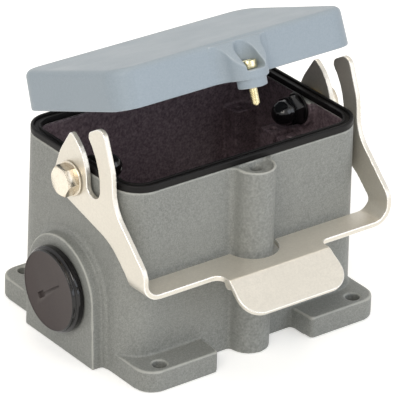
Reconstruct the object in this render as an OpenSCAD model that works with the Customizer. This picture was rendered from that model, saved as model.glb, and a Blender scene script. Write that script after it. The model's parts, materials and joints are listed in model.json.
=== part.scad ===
// Surface mounting housing of a heavy duty rectangular connector, with a hinged
// lid that a captive screw holds shut, and a bent sheet locking lever.
// Frame: X along the long side, -Y is the front, Z up from the mounting face.
// The origin is the centre of the four fixing holes, on the mounting face.

/* [Housing] */
// Outer length of the housing at its rim
rim_length = 132; // [126:0.5:140]
// Outer depth of the housing at its rim
rim_depth = 86.3; // [84:0.1:94]
// Height of the rim above the mounting face
rim_height = 91.7; // [88:0.1:104]
// Outer corner radius of the rim
rim_corner = 13.6; // [11:0.1:16]
// Thickness of the walls at the rim
wall = 5; // [4.4:0.1:5.6]
// Thickness of the closed floor
floor_t = 4.5; // [3:0.1:6]
// Draft of each end wall between rim and base
end_draft = 0.85; // [0.2:0.05:1.4]
// Draft of the front and back walls between rim and base
side_draft = 1.75; // [0.4:0.05:2.4]

/* [Mounting feet] */
// Height of the feet
foot_h = 10.6; // [8:0.1:13]
// How far the feet stand out of the front and back walls
foot_reach = 14; // [13:0.1:17]
// Half the distance between the two feet on one side
foot_inner = 26.7; // [22:0.1:34]
// How far the inner side of a foot widens towards the wall
foot_slant = 2; // [0:0.1:4]
// Radius of the outer corner of a foot
foot_corner = 9; // [6:0.5:11]
// Distance between the fixing holes along X
fixing_x = 110.8; // [104:0.1:114]
// Distance between the fixing holes along Y
fixing_y = 105.4; // [104:0.1:108]
// Radius of the fixing holes
fixing_r = 3.3; // [2.6:0.1:3.6]

/* [Cable entries] */
// Height of the entry axis above the mounting face
entry_z = 30.6; // [28:0.1:34]
// Radius of the tapped entry, at its thread crests
entry_r = 15.2; // [12:0.1:16.5]
// Lead-in chamfer at the mouth of an entry
entry_chamfer = 1; // [0.5:0.1:1.5]
// Radius of the raised pad round an entry
pad_r = 25.3; // [24:0.1:28]
// How much wider the pad is at each side of its foot
pad_flare = 1.3; // [0:0.1:3]
// How far the pad stands out of the rim's end
pad_reach = 7; // [6:0.1:9]
// How far the lower step of the pad stands out of the rim's end
step_reach = 1.7; // [1.4:0.1:3]
// How far the lower step shows round the pad
step_margin = 2.4; // [1:0.1:3]

/* [Insert seats] */
// Distance between the screws of one contact insert along X
insert_x = 104; // [100:0.5:108]
// Distance between the screws of one contact insert along Y
insert_y = 27; // [25:0.5:29]
// Distance between the two inserts side by side
insert_pitch = 39; // [38:0.5:42]
// Depth of the insert seats below the rim
seat_depth = 17.7; // [14:0.1:24]
// Width of a screw post
post_w = 9; // [7.5:0.1:10]
// Height of a screw post at the wall
post_h = 22; // [18:0.5:24]
// Radius of the tapped hole in a post
tap_r = 1.65; // [1.2:0.05:2]
// Depth of the tapped hole in a post
tap_depth = 11; // [8:0.5:12]

/* [Rim seal] */
// Height of the flat part of the seal
seal_h = 2.2; // [1.6:0.1:2.8]
// Height of the outer bead above the flat part
bead_h = 1.1; // [0.6:0.1:1.6]
// Width of the outer bead
bead_w = 1.7; // [1:0.1:2]
// Width of the inner bead
inner_bead_w = 1.3; // [0.8:0.1:1.8]

/* [Lid] */
// How far the lid stays inside the rim at each end
lid_inset_x = 0.6; // [0.4:0.1:3]
// How far the lid stays inside the rim at front and back
lid_inset_y = 1.8; // [1:0.1:2.6]
// Height of the lid
lid_h = 18.2; // [16:0.1:22]
// Corner radius of the lid
lid_corner = 11.5; // [9:0.5:13]
// Radius along the top edge of the lid
lid_edge = 3; // [2:0.1:4]
// Draft of the lid at each end
lid_end_draft = 0.3; // [0.1:0.1:1.6]
// Draft of the lid at front and back
lid_side_draft = 0.6; // [0.2:0.1:1.2]
// Thickness of the lid's skirt and top
lid_wall = 3; // [2.4:0.1:3.6]
// Angle at which the lid stands open
lid_open = 21.4; // [0:0.1:60]

/* [Lid screw] */
// Distance of the screw's axis in front of the rim
screw_offset = 3.4; // [3:0.1:4]
// Radius of the screw's head
screw_head_r = 3.9; // [3.4:0.1:4.2]
// Height of the screw's head
screw_head_h = 3.4; // [2.6:0.1:4]
// Radius of the screw's shank
screw_r = 1.8; // [1.5:0.05:2]
// Length of the shank that stands out below the boss
screw_reach = 8.4; // [6:0.1:9]
// Width of the driver slot
screw_slot = 1.2; // [0.8:0.1:1.6]
// How far the loosened screw rises
screw_rise = 4.6; // [3:0.1:4.8]
// Radius of the boss on the lid
boss_r = 10; // [9.4:0.1:11]
// Distance of the boss's centre in front of the lid's wall
boss_offset = 2.6; // [2.2:0.1:3.4]
// Radius that blends the boss into the lid's wall
boss_blend = 6; // [4:0.5:8]
// Radius of the stub under the boss
stub_r = 6.9; // [6.4:0.1:7.1]
// How far the stub stands out below the lid
stub_h = 4.1; // [3.9:0.1:4.6]
// Width of the driver channel in the boss
channel_w = 10; // [9:0.1:10.4]
// Height of the channel's floor above the stub's end
channel_floor = 8.1; // [7.8:0.1:8.8]
// Radius of the retaining ring
ring_r = 3.1; // [2.8:0.1:3.4]
// Thickness of the retaining ring
ring_t = 0.8; // [0.6:0.1:1]

/* [Screw column] */
// Radius of the half-round column on the front wall
column_r = 9.8; // [9.4:0.1:11]
// Distance of the column's centre in front of the rim
column_offset = 2.6; // [2:0.1:3.2]
// Radius that blends the column into the wall
column_blend = 4; // [2:0.5:6]
// Depth of the recess in the column's top
recess_depth = 1.5; // [1.2:0.1:2.4]
// Depth of the screw hole below the recess
column_hole_depth = 13; // [12:0.5:20]

/* [Lid hinge] */
// Distance of the hinge axis behind the rim
hinge_offset = 10.2; // [9.6:0.1:12]
// Height of the hinge axis above the rim
hinge_rise = 5.9; // [5.4:0.1:7]
// Radius of the hinge eyes
eye_r = 4.8; // [4.2:0.1:5]
// Width of one hinge lug on the housing
lug_w = 6; // [5:0.5:8]
// Width of one hinge knuckle on the lid
knuckle_w = 10; // [8:0.5:14]
// Distance of the gap between lug and knuckle from the middle
hinge_half = 34; // [28:0.5:40]
// How far a lug runs down the back wall
lug_drop = 24; // [16:0.5:32]
// Radius of the hinge pin
pin_r = 2; // [1.5:0.05:2.4]
// Thickness of the clips on the pin
clip_t = 0.8; // [0.6:0.1:1]
// Radius of the clips on the pin
clip_r = 3.9; // [3.6:0.1:4.4]

/* [Lever] */
// Thickness of the lever's sheet
sheet = 2.5; // [2:0.1:3]
// Gap between an end wall and the lever's arm
arm_gap = 1.5; // [1.4:0.1:2]
// Depth of the pivot below the rim
pivot_drop = 5; // [4.5:0.1:6.5]
// Distance of the pivot in front of the housing's middle
pivot_front = 4.2; // [3:0.1:5]
// Radius of the pivot hole in an arm
lever_hole_r = 5.55; // [5.3:0.05:6]
// Height of the pivot above the crossbar's top
bar_drop = 36.2; // [33:0.1:38]
// Gap between the crossbar and the front wall's base line
bar_gap = 1.5; // [1.2:0.1:3]
// Depth of the crossbar
bar_depth = 13.2; // [11:0.1:15]
// Outer radius of the bends between crossbar and arms
bend_r = 9; // [6:0.5:11]
// Half width of the cam slot in an arm
slot_half = 4.9; // [4.4:0.1:5.2]
// Radius of the cam slot's centre line
cam_r = 26.8; // [26:0.1:28]
// Centre of the cam slot's curve behind the pivot
cam_y = 10.6; // [10:0.1:11.2]
// Centre of the cam slot's curve above the pivot
cam_z = 2.3; // [1.4:0.1:3.2]
// Gap between the crossbar's notch and the column
notch_gap = 2.6; // [1.6:0.1:3.4]
// Half width of the handle tab at its root
tab_half = 28.5; // [24:0.5:34]
// How much wider the tab is at each side of its free edge
tab_flare = 1.2; // [0:0.1:3]
// Length of the tab from its bend
tab_length = 18.8; // [14:0.1:24]
// How far the tab's bend lies in front of the crossbar
tab_root = 6.3; // [5:0.1:9]
// Angle of the tab below the crossbar
tab_angle = 35; // [20:1:60]
// Corner radius of the tab
tab_corner = 10; // [4:0.5:12]
// Radius that blends the tab into the crossbar
tab_blend = 4; // [2:0.5:6]

/* [Pivot bolts] */
// Radius of the bolt's shank
bolt_r = 4; // [3.5:0.1:4.2]
// Width across flats of the bolt's head and the cap nut
hex_af = 13; // [12:0.1:13.4]
// Height of the bolt's head
bolt_head_h = 5.3; // [4:0.1:6]
// Wall of the bush round the bolt
bush_wall = 1.4; // [1.1:0.1:1.5]
// Radius of the bush's flange
bush_flange_r = 7.5; // [6.8:0.1:8]
// Thickness of the pivot washer
washer_t = 1; // [0.8:0.1:1.6]
// Radius of the pivot washer
washer_r = 8.2; // [7.6:0.1:8.6]
// Radius of the boss inside the wall, under the cap nut
nut_boss_r = 8.6; // [8:0.1:9]
// Height of the boss inside the wall
nut_boss_t = 2.8; // [2:0.1:3.4]
// Thickness of the sealing washer inside the wall
inner_washer_t = 1.2; // [0.8:0.1:1.6]
// Radius of the sealing washer
inner_washer_r = 7.4; // [7:0.1:8]
// Height of the hexagon on the cap nut
nut_h = 5.5; // [4.5:0.1:6]
// Radius of the cap nut's dome
dome_r = 5.9; // [5.4:0.1:6]

/* [Blanking plug] */
// Radius of the plug's head
plug_r = 20.3; // [18:0.1:22]
// Thickness of the plug's head
plug_t = 5.3; // [4:0.1:7]
// How far the plug's face stays inside the head's edge
plug_face_inset = 1.1; // [0.6:0.1:2]
// Thickness of the disc that carries the plug's face
plug_disc_t = 1.7; // [1:0.1:2.4]
// Depth of the groove behind that disc
plug_groove = 0.7; // [0.3:0.1:1.2]
// Depth of the sunk middle of the plug's face
plug_face_drop = 0.3; // [0.2:0.1:1]
// Length of the driver slot in the plug
plug_slot_l = 20; // [10:0.5:24]
// Width of the driver slot in the plug
plug_slot_w = 1; // [0.8:0.1:2]
// Width of the deep end of the driver slot
plug_key_w = 3; // [2:0.1:4]
// Length of the deep end of the driver slot
plug_key_l = 5.6; // [4:0.1:8]
// Depth of the driver slot in the plug
plug_slot_d = 0.8; // [0.5:0.1:1.6]
// Angle of the driver slot from level
plug_slot_angle = 37; // [0:1:90]
// Length of the plug's threaded stem
stem_l = 9; // [6:0.5:11]
// Wall of the plug's hollow stem
stem_wall = 2.4; // [1.6:0.1:3.4]
// Thickness of the web that closes the stem behind the head
stem_web = 2.2; // [1.2:0.1:3.2]
// Thickness of the plug's flat seal
plug_seal_t = 0.8; // [0.6:0.1:1.2]
// How far the plug's seal stays inside the head's edge
plug_seal_inset = 1; // [0.6:0.1:2]

/* [Fits] */
// Gap where a piece seats on the drafted wall
seat_gap = 0.15; // [0.1:0.05:0.2]
// Gap between a moving piece and its neighbour
side_gap = 0.3; // [0.25:0.05:0.4]
// Radial clearance of a pin or bush that turns
running_fit = 0.05; // [0.02:0.01:0.08]
// Radial clearance of a bolt or screw in its hole
bolt_fit = 0.2; // [0.1:0.05:0.3]
// Radial clearance round the lid screw's tip
column_fit = 0.9; // [0.8:0.05:1.2]
// Radial clearance of the stub in the column's recess
recess_fit = 0.9; // [0.6:0.1:1]
// Radial clearance of a threaded pair
thread_fit = 0.1; // [0.05:0.05:0.2]

/* [Hidden] */
$fn = 48;
HULL_FN = 32;
THIN = 0.01;
CUT = 1;
ARC_STEP = 9;

half_l = rim_length / 2;
half_d = rim_depth / 2;
base_half_d = half_d + side_draft;
pivot_z = rim_height - pivot_drop;
pivot_y = -pivot_front;
seat_z = rim_height - seat_depth;
seal_top = rim_height + seal_h + bead_h;
lid_z = seal_top + side_gap;
lid_top = lid_z + lid_h;
lid_half_l = half_l - lid_inset_x;
lid_half_d = half_d - lid_inset_y;
hinge_y = half_d + hinge_offset;
hinge_z = rim_height + hinge_rise;
screw_y = -(half_d + screw_offset);
stub_z = lid_z - stub_h;
floor_z = stub_z + channel_floor;
head_z = floor_z + side_gap;
neck_r = screw_r - 0.4;
groove_z = stub_z + side_gap;
arm_in = half_l + arm_gap;
arm_out = arm_in + sheet;
bar_rear = -(base_half_d + bar_gap);
bar_front = bar_rear - bar_depth;
bar_top = pivot_z - bar_drop;
bar_bottom = bar_top - sheet;
wall_out = half_l + end_draft * pivot_drop / rim_height;
wall_in = half_l - wall - end_draft * pivot_drop / rim_height;
bush_in = wall_out + seat_gap;
bush_r = bolt_r + bush_wall + running_fit;
lever_r = max(lever_hole_r, bush_r + running_fit);
bush_out = arm_out + side_gap;
washer_out = bush_out + washer_t;
inner_washer_x = wall_in - nut_boss_t;
nut_x = inner_washer_x - inner_washer_t;
pad_face = half_l + pad_reach;
plug_in = pad_face + plug_seal_t;
plug_face = plug_in + plug_t;
clip_x = hinge_half + lug_w + side_gap;

// Points of an outline whose corners [x, y, radius] are rounded by arcs.
function unit(v) = v / norm(v);
function corner_arc(before, at, after, r) =
    r == 0 ? [at] :
    let (
        a = unit(before - at),
        b = unit(after - at),
        half = acos(a * b) / 2,
        centre = at + unit(a + b) * r / sin(half),
        start = at + a * r / tan(half) - centre,
        turn = (a.x * b.y - a.y * b.x > 0 ? -1 : 1) * (180 - 2 * half),
        steps = ceil(abs(turn) / ARC_STEP)
    )
    [for (i = [0:steps]) centre + turned(start, turn * i / steps)];
function turned(v, angle) =
    [v.x * cos(angle) - v.y * sin(angle), v.x * sin(angle) + v.y * cos(angle)];
function flat(p) = [p.x, p.y];
function rounded(p) = [
    for (i = [0:len(p) - 1])
        each corner_arc(
            flat(p[(i + len(p) - 1) % len(p)]), flat(p[i]),
            flat(p[(i + 1) % len(p)]), p[i][2])
];

// A copy on the left for side -1, and as drawn for side 1.
module on_side(side) {
    mirror([side < 0 ? 1 : 0, 0, 0]) children();
}

// Stands a shape drawn in Y and Z up and extrudes it along +X.
module along_x(from, to) {
    translate([from, 0, 0]) rotate([90, 0, 90]) linear_extrude(to - from) children();
}

// A cylinder along +X on the axis at height z.
module rod_x(from, to, r, z, y = 0) {
    translate([from, y, z]) rotate([0, 90, 0]) cylinder(r = r, h = to - from);
}

// A cylinder along +X on the lever's pivot.
module pivot_rod(from, to, r) {
    rod_x(from, to, r, pivot_z, pivot_y);
}

// A rectangle with rounded corners, centred on the origin.
module round_rect(half_x, half_y, r) {
    square([2 * (half_x - r), 2 * half_y], center = true);
    square([2 * half_x, 2 * (half_y - r)], center = true);
    for (x = [-1, 1], y = [-1, 1])
        translate([x * (half_x - r), y * (half_y - r)]) circle(r);
}

// A drafted block: half sizes and corner radius at its low and high ends.
module drafted(low, high, z_low, z_high) {
    hull() for (x = [-1, 1], y = [-1, 1]) {
        translate([x * (low[0] - low[2]), y * (low[1] - low[2]), z_low])
            cylinder(r = low[2], h = THIN, $fn = HULL_FN);
        translate([x * (high[0] - high[2]), y * (high[1] - high[2]), z_high - THIN])
            cylinder(r = high[2], h = THIN, $fn = HULL_FN);
    }
}

// A round boss of radius r, centred offset in front of a wall on the X axis,
// with arcs of radius blend that meet the boss and the wall.
module boss_plan(r, offset, blend, into) {
    x = sqrt(pow(r + blend, 2) - pow(offset - blend, 2));
    translate([0, -offset]) circle(r);
    difference() {
        polygon([[-x, into], [x, into], [x, -blend], [0, -offset], [-x, -blend]]);
        for (s = [-1, 1]) translate([s * x, -blend]) circle(blend);
    }
}

// Turns what is drawn for a shut lid to where the open lid stands.
module open_with_lid() {
    translate([0, hinge_y, hinge_z]) rotate([-lid_open, 0, 0])
        translate([0, -hinge_y, -hinge_z]) children();
}

// ---------------------------------------------------------------- housing

module cavity() {
    in_l = half_l - wall;
    in_d = half_d - wall;
    in_r = rim_corner - wall;
    lean = CUT / rim_height;
    drafted(
        [in_l - end_draft, in_d - side_draft, in_r],
        [in_l + end_draft * lean, in_d + side_draft * lean, in_r],
        floor_t, rim_height + CUT);
}

module foot() {
    side = half_l + end_draft - 0.2;
    edge = base_half_d + foot_reach;
    root = base_half_d - rim_corner;
    linear_extrude(foot_h) polygon(rounded([
        [foot_inner - foot_slant, root, 0],
        [side, root, 0],
        [side, edge, foot_corner],
        [foot_inner, edge, foot_slant]
    ]));
}

module fixing_hole() {
    translate([fixing_x / 2, fixing_y / 2, -CUT]) cylinder(r = fixing_r, h = foot_h + 2 * CUT);
}

module pad_plan(r) {
    foot = r + pad_flare;
    polygon([[-foot, 0], [foot, 0], [r, entry_z], [-r, entry_z]]);
    translate([0, entry_z]) circle(r, $fn = 96);
}

module entry_pad() {
    along_x(half_l - wall / 2, half_l + step_reach) pad_plan(pad_r + step_margin);
    along_x(half_l - wall / 2, pad_face) pad_plan(pad_r);
}

module entry_hole() {
    rod_x(half_l - 2 * wall, pad_face + CUT, entry_r, entry_z, $fn = 96);
    translate([pad_face - entry_chamfer, 0, entry_z]) rotate([0, 90, 0])
        cylinder(r1 = entry_r, r2 = entry_r + 2 * entry_chamfer, h = 2 * entry_chamfer, $fn = 96);
}

module column() {
    translate([0, -half_d, 0]) linear_extrude(rim_height)
        boss_plan(column_r, column_offset, column_blend, wall / 2);
}

module column_hole() {
    recess_z = rim_height - recess_depth;
    hole_r = screw_r + column_fit;
    intersection() {
        translate([0, screw_y, recess_z]) cylinder(r = stub_r + recess_fit, h = recess_depth + CUT);
        translate([-half_l, -rim_depth - side_gap, 0]) cube([rim_length, half_d, 2 * rim_height]);
    }
    translate([0, screw_y, recess_z - column_hole_depth]) {
        cylinder(r = hole_r, h = column_hole_depth + CUT);
        translate([0, 0, column_hole_depth - 0.8]) cylinder(r1 = hole_r, r2 = hole_r + 1, h = 1);
    }
}

module hinge_lug() {
    along_x(hinge_half + side_gap / 2, hinge_half + lug_w) {
        translate([hinge_y, hinge_z]) circle(eye_r);
        polygon([
            [half_d - wall / 2, rim_height - lug_drop],
            [half_d - wall / 2, rim_height - side_gap],
            [half_d + 2 * side_gap, rim_height - side_gap],
            [hinge_y - eye_r * 0.9, hinge_z + eye_r * 0.43],
            [hinge_y + eye_r * 0.9, hinge_z - eye_r * 0.43]
        ]);
    }
}

module insert_post(y) {
    face = insert_x / 2 - post_w / 2;
    root = half_l - wall / 2;
    difference() {
        translate([0, y + post_w / 2, 0]) rotate([90, 0, 0]) linear_extrude(post_w) polygon([
            [face, seat_z],
            [root, seat_z],
            [root, seat_z - post_h],
            [face, seat_z - post_h / 2]
        ]);
        translate([insert_x / 2, y, seat_z - tap_depth]) cylinder(r = tap_r, h = tap_depth + CUT);
    }
}

module nut_boss() {
    difference() {
        intersection() {
            pivot_rod(inner_washer_x, half_l - wall / 2, nut_boss_r);
            translate([0, -half_d, 0]) cube([half_l, rim_depth, rim_height]);
        }
        pivot_rod(inner_washer_x - CUT, half_l, bolt_r + bolt_fit);
    }
}

module housing() color([0.55, 0.57, 0.55]) {
    difference() {
        union() {
            drafted(
                [half_l + end_draft, base_half_d, rim_corner + end_draft],
                [half_l, half_d, rim_corner], 0, rim_height);
            for (x = [0, 1], y = [0, 1]) mirror([x, 0, 0]) mirror([0, y, 0]) foot();
            for (side = [-1, 1]) on_side(side) {
                entry_pad();
                hinge_lug();
            }
            column();
        }
        cavity();
        for (x = [0, 1], y = [0, 1]) mirror([x, 0, 0]) mirror([0, y, 0]) fixing_hole();
        for (side = [-1, 1]) on_side(side) {
            entry_hole();
            pivot_rod(half_l - 2 * wall, half_l + wall, bolt_r + bolt_fit);
            rod_x(hinge_half - CUT, hinge_half + lug_w + CUT, pin_r + running_fit / 2, hinge_z, hinge_y);
        }
        column_hole();
    }
    for (side = [-1, 1]) on_side(side) {
        nut_boss();
        for (row = [-1, 1], screw = [-1, 1])
            insert_post(row * insert_pitch / 2 + screw * insert_y / 2);
    }
}

module seal_ring(outset, width, low, high) {
    translate([0, 0, low]) linear_extrude(high - low) difference() {
        round_rect(half_l - outset, half_d - outset, rim_corner - outset);
        round_rect(half_l - outset - width, half_d - outset - width, rim_corner - outset - width);
    }
}

module rim_seal() color([0.1, 0.1, 0.1]) {
    seal_ring(0, wall, rim_height, rim_height + seal_h);
    seal_ring(0, bead_w, rim_height + seal_h - THIN, seal_top);
    seal_ring(wall - inner_bead_w, inner_bead_w, rim_height + seal_h - THIN, seal_top - bead_h / 2);
}

// -------------------------------------------------------------------- lid

module lid_shell() {
    top_l = lid_half_l - lid_end_draft;
    top_d = lid_half_d - lid_side_draft;
    hull() for (x = [-1, 1], y = [-1, 1]) {
        translate([x * (lid_half_l - lid_corner), y * (lid_half_d - lid_corner), lid_z])
            cylinder(r = lid_corner, h = THIN, $fn = HULL_FN);
        translate([x * (top_l - lid_corner), y * (top_d - lid_corner), lid_top - lid_edge])
            rotate_extrude($fn = HULL_FN) translate([lid_corner - lid_edge, 0])
                circle(lid_edge, $fn = HULL_FN);
    }
}

module lid_hollow() {
    r = lid_corner - lid_wall;
    drafted(
        [lid_half_l - lid_wall, lid_half_d - lid_wall, r],
        [lid_half_l - lid_end_draft - lid_wall, lid_half_d - lid_side_draft - lid_wall, r],
        lid_z - THIN, lid_top - lid_wall);
}

module lid_boss() {
    difference() {
        translate([0, -lid_half_d, lid_z]) linear_extrude(lid_h - 1)
            boss_plan(boss_r, boss_offset, boss_blend, lid_wall / 2);
        // The boss's top falls away towards the front.
        translate([-rim_length / 2, -lid_half_d - lid_edge, lid_top - 1]) rotate([20, 0, 0])
            mirror([0, 1, 0]) cube([rim_length, 2 * boss_r + lid_edge, lid_edge + boss_r]);
    }
    difference() {
        translate([0, screw_y, stub_z]) cylinder(r = stub_r, h = stub_h + CUT);
        translate([-boss_r, -half_d - side_gap * 3, stub_z - CUT])
            cube([2 * boss_r, boss_r, stub_h + CUT]);
    }
}

module driver_channel() {
    translate([0, screw_y, floor_z]) {
        cylinder(d = channel_w, h = lid_top);
        translate([-channel_w / 2, -2 * boss_r, 0]) cube([channel_w, 2 * boss_r, lid_top]);
    }
    translate([0, screw_y, stub_z - CUT]) {
        cylinder(r = screw_r + bolt_fit, h = channel_floor + 2 * CUT);
        cylinder(r = ring_r + bolt_fit, h = CUT + side_gap + ring_t + screw_rise + side_gap);
    }
}

module lid_knuckle() {
    along_x(hinge_half - side_gap / 2 - knuckle_w, hinge_half - side_gap / 2) {
        translate([hinge_y, hinge_z]) circle(eye_r);
        polygon([
            [lid_half_d - lid_wall / 2, lid_z + side_gap],
            [half_d + side_gap, lid_z + side_gap],
            [hinge_y - eye_r * 0.43, hinge_z - eye_r * 0.9],
            [hinge_y, hinge_z + eye_r],
            [lid_half_d - lid_wall / 2, hinge_z + eye_r * 1.8]
        ]);
    }
}

module lid() color([0.64, 0.68, 0.73]) open_with_lid() difference() {
    union() {
        difference() {
            lid_shell();
            lid_hollow();
        }
        lid_boss();
        for (side = [-1, 1]) on_side(side) lid_knuckle();
    }
    driver_channel();
    rod_x(-hinge_half, hinge_half, pin_r + running_fit, hinge_z, hinge_y);
}

module lid_screw() color([0.85, 0.78, 0.5]) open_with_lid() translate([0, screw_y, 0]) {
    tip = stub_z - screw_reach;
    groove_top = groove_z + ring_t + side_gap;
    difference() {
        union() {
            translate([0, 0, head_z]) cylinder(r = screw_head_r, h = screw_head_h);
            translate([0, 0, groove_top]) cylinder(r = screw_r, h = head_z - groove_top);
            translate([0, 0, groove_z]) cylinder(r = neck_r, h = groove_top - groove_z);
            translate([0, 0, tip + 0.8]) cylinder(r = screw_r, h = groove_z - tip - 0.8);
            translate([0, 0, tip]) cylinder(r1 = screw_r - 0.7, r2 = screw_r, h = 0.8);
        }
        translate([-screw_head_r - CUT, -screw_slot / 2, head_z + screw_head_h * 0.5])
            cube([2 * (screw_head_r + CUT), screw_slot, screw_head_h]);
    }
}

module lid_screw_ring() color([0.6, 0.6, 0.6]) open_with_lid()
    translate([0, screw_y, groove_z + side_gap / 2]) difference() {
        cylinder(r = ring_r, h = ring_t);
        translate([0, 0, -CUT]) cylinder(r = neck_r + running_fit, h = ring_t + 2 * CUT);
        translate([0, -neck_r / 2, -CUT]) cube([ring_r + CUT, neck_r, ring_t + 2 * CUT]);
    }

// ------------------------------------------------------------------ hinge

module hinge_pin() color([0.75, 0.75, 0.73]) difference() {
    end = clip_x + clip_t + 1.2;
    rod_x(-end, end, pin_r, hinge_z, hinge_y);
    for (side = [-1, 1]) on_side(side) translate([clip_x - side_gap / 2, hinge_y, hinge_z])
        rotate([0, 90, 0]) difference() {
            cylinder(r = pin_r + CUT, h = clip_t + side_gap);
            translate([0, 0, -CUT]) cylinder(r = pin_r - 0.4, h = clip_t + 3 * CUT);
        }
}

module pin_clip() {
    along_x(clip_x, clip_x + clip_t) translate([hinge_y, hinge_z]) difference() {
        circle(clip_r);
        circle(pin_r - 0.4 + running_fit);
        translate([0, -pin_r / 2 - 0.2]) square([clip_r + CUT, pin_r + 0.4]);
    }
}

module left_pin_clip() color([0.6, 0.6, 0.6]) on_side(-1) pin_clip();
module right_pin_clip() color([0.6, 0.6, 0.6]) on_side(1) pin_clip();

// ------------------------------------------------------------------ lever

// Outline of an arm, in Y and Z about the pivot. The two edges of the cam slot
// are arcs about one centre, and each ends along its own tangent.
function arm_points() =
    let (
        rear_r = cam_r - slot_half,
        front_r = cam_r + slot_half,
        rear_turn = 62,
        front_turn = 45,
        slot_floor = cam_z - slot_half - 0.5,
        rear_knee = [cam_y - rear_r, cam_z + rear_r * tan(rear_turn / 2)],
        front_knee = [cam_y - front_r, cam_z + front_r * tan(front_turn / 2)],
        nose = rear_knee + [sin(rear_turn), cos(rear_turn)] * (rear_r * tan(rear_turn / 2) + 1.5),
        finger = front_knee + [sin(front_turn), cos(front_turn)] * (front_r * tan(front_turn / 2) + 2.2),
        rear = bar_rear - pivot_y,
        front = bar_front - pivot_y,
        low = -bar_drop - 2 * sheet
    )
    [
        [rear, low, 0],
        [rear, -31.2, 5],
        [-29.8, -19.9, 28],
        [16, -8.1, 6.5],
        [9.4, 10.3, 25],
        [nose.x, nose.y, 1.6],
        [rear_knee.x, rear_knee.y, rear_r],
        [rear_knee.x, slot_floor, slot_half - 0.1],
        [front_knee.x, slot_floor, slot_half - 0.1],
        [front_knee.x, front_knee.y, front_r],
        [finger.x, finger.y, 3],
        [-22.1, 33.6, 4.5],
        [-30, 13.8, 18],
        [-31.4, -2.2, 20],
        [front, -24.7, 9],
        [front, low, 0]
    ];

module bent_strip() {
    translate([0, bar_rear + rim_depth, bar_bottom]) rotate([90, 0, 0])
        linear_extrude(2 * rim_depth) difference() {
            translate([0, rim_height]) round_rect(arm_out, rim_height, bend_r);
            translate([0, rim_height + sheet])
                round_rect(arm_in, rim_height, bend_r - sheet);
        }
}

module tab_plan() {
    far = bar_front - tab_root;
    root = tab_half + tab_blend + 1;
    polygon(rounded([
        [-root, bar_front + sheet, 0],
        [-root, bar_front, 0],
        [-tab_half, bar_front, tab_blend],
        [-tab_half, far, 0],
        [tab_half, far, 0],
        [tab_half, bar_front, tab_blend],
        [root, bar_front, 0],
        [root, bar_front + sheet, 0]
    ]));
}

module tab() {
    free = tab_half + tab_flare;
    translate([0, 0, bar_bottom]) linear_extrude(sheet) tab_plan();
    translate([0, bar_front - tab_root, bar_bottom]) {
        rotate([tab_angle, 0, 0]) linear_extrude(sheet) polygon(rounded([
            [-tab_half, 0, 0],
            [-free, -tab_length, tab_corner],
            [free, -tab_length, tab_corner],
            [tab_half, 0, 0]
        ]));
        rotate([0, 90, 0]) cylinder(r = sheet, h = 2 * tab_half, center = true);
    }
}

module locking_lever() color([0.86, 0.84, 0.79]) {
    difference() {
        intersection() {
            bent_strip();
            along_x(-arm_out - CUT, arm_out + CUT)
                translate([pivot_y, pivot_z]) polygon(rounded(arm_points()));
        }
        pivot_rod(-arm_out - CUT, arm_out + CUT, lever_r);
        column_notch();
    }
    difference() {
        tab();
        column_notch();
    }
}

// Room in the crossbar for the column.
module column_notch() {
    translate([0, -half_d - column_offset, 0]) cylinder(r = column_r + notch_gap, h = bar_top + CUT);
}

// ----------------------------------------------------------- pivot pieces

module hexagon(af, from, to) {
    translate([from, pivot_y, pivot_z]) rotate([0, 90, 0])
        cylinder(d = af / cos(30), h = to - from, $fn = 6);
}

module pivot_bolt() {
    head_end = washer_out + bolt_head_h;
    tip = nut_x - nut_h - 1;
    pivot_rod(tip, washer_out + CUT / 2, bolt_r);
    intersection() {
        hexagon(hex_af, washer_out, head_end);
        translate([washer_out, pivot_y, pivot_z]) rotate([0, 90, 0])
            cylinder(r1 = hex_af / 2 + bolt_head_h * 1.6, r2 = hex_af / 2 - 0.1, h = bolt_head_h);
    }
}

module pivot_bush() {
    difference() {
        union() {
            pivot_rod(bush_in, arm_in - side_gap, bush_flange_r);
            pivot_rod(bush_in, bush_out, bush_r);
        }
        pivot_rod(bush_in - CUT, bush_out + CUT, bolt_r + running_fit);
    }
}

module plain_washer(from, to, r) {
    difference() {
        pivot_rod(from, to, r);
        pivot_rod(from - CUT, to + CUT, bolt_r + running_fit);
    }
}

module cap_nut() {
    difference() {
        union() {
            hexagon(hex_af, nut_x - nut_h, nut_x);
            pivot_rod(nut_x - nut_h - 2, nut_x - 1, dome_r);
            translate([nut_x - nut_h - 2, pivot_y, pivot_z]) sphere(dome_r);
        }
        pivot_rod(nut_x - nut_h - 1.5, nut_x + CUT, bolt_r + running_fit);
    }
}

module left_pivot_bolt() color([0.82, 0.79, 0.72]) on_side(-1) pivot_bolt();
module right_pivot_bolt() color([0.82, 0.79, 0.72]) on_side(1) pivot_bolt();
module left_pivot_bush() color([0.7, 0.68, 0.6]) on_side(-1) pivot_bush();
module right_pivot_bush() color([0.7, 0.68, 0.6]) on_side(1) pivot_bush();
module left_pivot_washer() color([0.8, 0.78, 0.72]) on_side(-1)
    plain_washer(bush_out, washer_out, washer_r);
module right_pivot_washer() color([0.8, 0.78, 0.72]) on_side(1)
    plain_washer(bush_out, washer_out, washer_r);
module left_cap_nut() color([0.12, 0.11, 0.11]) on_side(-1) cap_nut();
module right_cap_nut() color([0.12, 0.11, 0.11]) on_side(1) cap_nut();
module left_sealing_washer() color([0.1, 0.1, 0.1]) on_side(-1)
    plain_washer(nut_x, inner_washer_x, inner_washer_r);
module right_sealing_washer() color([0.1, 0.1, 0.1]) on_side(1)
    plain_washer(nut_x, inner_washer_x, inner_washer_r);

// ---------------------------------------------------------- blanking plug

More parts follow.
